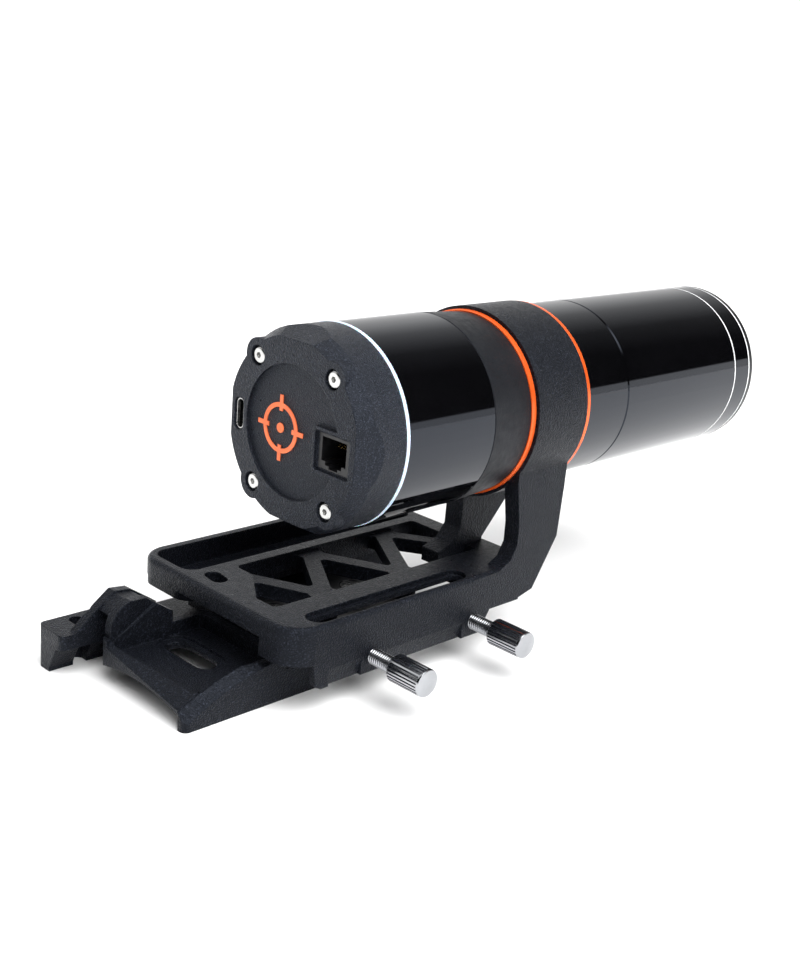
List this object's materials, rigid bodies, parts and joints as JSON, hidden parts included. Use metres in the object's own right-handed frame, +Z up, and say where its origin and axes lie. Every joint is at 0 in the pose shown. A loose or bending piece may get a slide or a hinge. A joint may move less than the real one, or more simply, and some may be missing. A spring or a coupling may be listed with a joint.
{
  "type": "guide camera",
  "caption": "Telescope guide camera: sensor housing and lens barrel in a cast ring bracket that slides and clamps on a dovetail saddle.",
  "frame": {"origin": "on the optical axis, in the image sensor's plane, inside the rear barrel", "axes": "+Y along the optical axis towards the sky, +Z up from the saddle to the barrel, +X towards the thumbscrews"},
  "size_m": [0.0972, 0.2466, 0.1039],
  "materials": {
    "cap_plastic": "fine moulded texture, matte black",
    "cast_black": "textured powder coat on cast aluminium, charcoal",
    "gloss_black": "gloss black lacquer on aluminium tube",
    "matte_black": "bead-blasted black anodising",
    "black_anodised": "black anodised, satin",
    "orange_anodised": "orange anodised, bright cut",
    "orange_print": "orange inlay, satin",
    "white_paint": "white printed line",
    "light_pipe": "pale blue-white translucent light pipe",
    "steel": "stainless, satin",
    "chrome": "bright nickel plate",
    "brass": "plain brass",
    "gold_contact": "gold flashed spring wire",
    "black_plastic": "black nylon",
    "rubber": "black silicone",
    "coated_glass": "anti-reflection coated optical glass",
    "sensor_silicon": "sensor die under cover glass",
    "circuit_board": "green solder mask",
    "bare_aluminium": "machined aluminium",
    "heat_pad": "grey silicone thermal pad",
    "ribbon": "amber polyimide ribbon"
  },
  "bodies": {
    "saddle": {"base_saddle": "cast_black", "base_rail": "black_anodised", "rail_screws": "steel"},
    "camera": {"rear_cap": "cap_plastic", "cap_screws": "steel", "emblem_inlay": "orange_print", "usb_c_shell": "steel", "usb_c_tongue": "black_plastic", "jack_housing": "black_plastic", "jack_contacts": "gold_contact", "light_ring": "light_pipe", "light_board": "circuit_board", "cap_gasket": "rubber", "status_leds": "light_pipe", "rear_barrel": "gloss_black", "core_tube": "black_anodised", "collar": "matte_black", "accent_ring_rear": "orange_anodised", "accent_ring_front": "orange_anodised", "lock_ring": "gloss_black", "front_barrel": "gloss_black", "nose_band": "gloss_black", "nose_lines": "white_paint", "nose_rim": "black_anodised", "lens_cell": "black_anodised", "rear_lens": "coated_glass", "lens_spacer": "black_anodised", "middle_lens": "coated_glass", "front_lens": "coated_glass", "lens_shim": "black_anodised", "lens_retainer": "black_anodised", "cell_oring": "rubber", "baffle": "black_anodised", "sensor_plate": "bare_aluminium", "sensor_board": "circuit_board", "image_sensor": "sensor_silicon", "filter_holder": "black_plastic", "filter_glass": "coated_glass", "main_board": "circuit_board", "main_chip": "black_plastic", "heat_pad": "heat_pad", "board_standoffs": "brass", "board_screws": "steel", "ribbon_cable": "ribbon", "cradle_bracket": "cast_black"},
    "jaw": {"clamp_jaw": "cast_black"},
    "screw_rear": {"clamp_screw_rear": "chrome"},
    "screw_front": {"clamp_screw_front": "chrome"}
  },
  "joints": [
    {"name": "camera_slide", "type": "slide", "parent": "saddle", "child": "camera", "axis": [0, 1, 0], "range_m": [0, 0.02]},
    {"name": "jaw_slide", "type": "slide", "parent": "camera", "child": "jaw", "axis": [1, 0, 0], "range_m": [0, 0.002]},
    {"name": "screw_rear_turn", "type": "hinge", "parent": "jaw", "child": "screw_rear", "pos_m": [0.0146, -0.0191, -0.062], "axis": [1, 0, 0], "range_deg": [0, 901]},
    {"name": "screw_front_turn", "type": "hinge", "parent": "jaw", "child": "screw_front", "pos_m": [0.0146, 0.0232, -0.062], "axis": [1, 0, 0], "range_deg": [0, 901]}
  ],
  "couplings": [
    {"joint": "screw_rear_turn", "follows": "jaw_slide", "rad_per_m": 7854},
    {"joint": "screw_front_turn", "follows": "jaw_slide", "rad_per_m": 7854}
  ]
}
